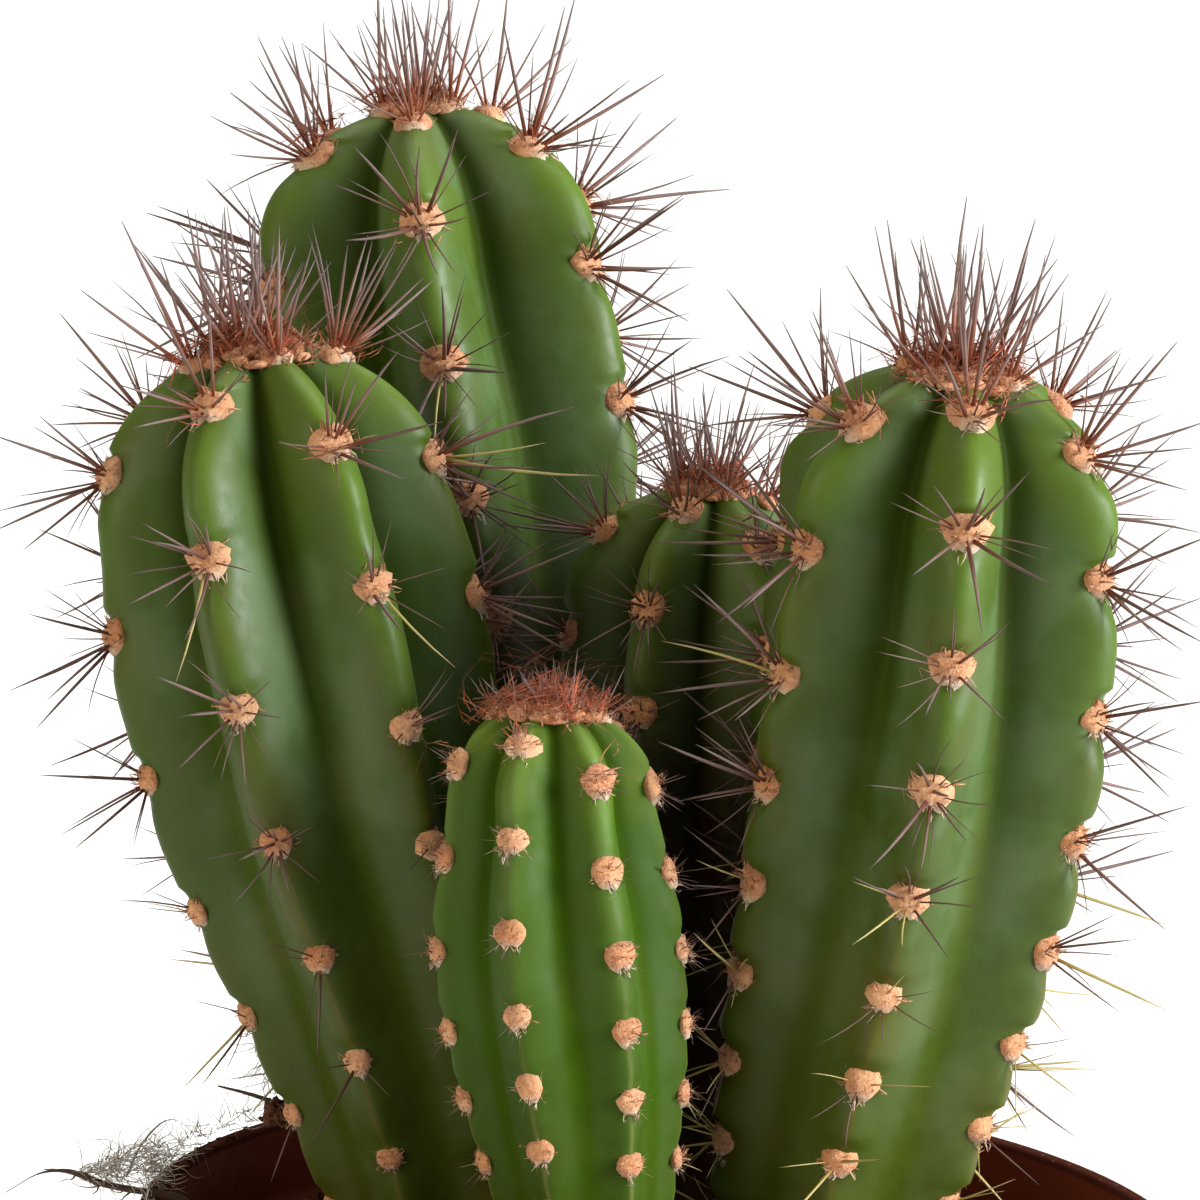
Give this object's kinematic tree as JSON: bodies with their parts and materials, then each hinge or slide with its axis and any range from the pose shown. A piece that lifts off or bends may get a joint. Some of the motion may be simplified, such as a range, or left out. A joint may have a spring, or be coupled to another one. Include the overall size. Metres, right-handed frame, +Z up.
{
  "type": "potted tall cactus",
  "caption": "Cluster of upright ribbed cactus columns with felted pads and spines, standing in peat soil in a round brown plastic nursery pot.",
  "frame": {"origin": "centre of the pot's flat underside, on the surface it stands on", "axes": "+Z up, -Y towards the front of the picture's view, +X to the viewer's right"},
  "size_m": [0.1241, 0.1276, 0.2057],
  "materials": {
    "pot_plastic": "chocolate-brown moulded plastic, slightly satin",
    "peat": "dark brown crumbly peat with fibres",
    "cactus_skin": "waxy green skin, yellower on the crests, bluish in the grooves",
    "young_skin": "bright waxy green skin of a young column",
    "pad_felt": "peach felt of the spine pads",
    "spines": "reddish brown spines with paler grey tips",
    "root_fibre": "dark dry roots and pale fibres"
  },
  "bodies": {
    "root": {"pot": "pot_plastic", "soil": "peat", "column_right": "cactus_skin", "column_left": "cactus_skin", "column_back": "cactus_skin", "column_middle": "cactus_skin", "column_front": "young_skin"}
  },
  "joints": []
}
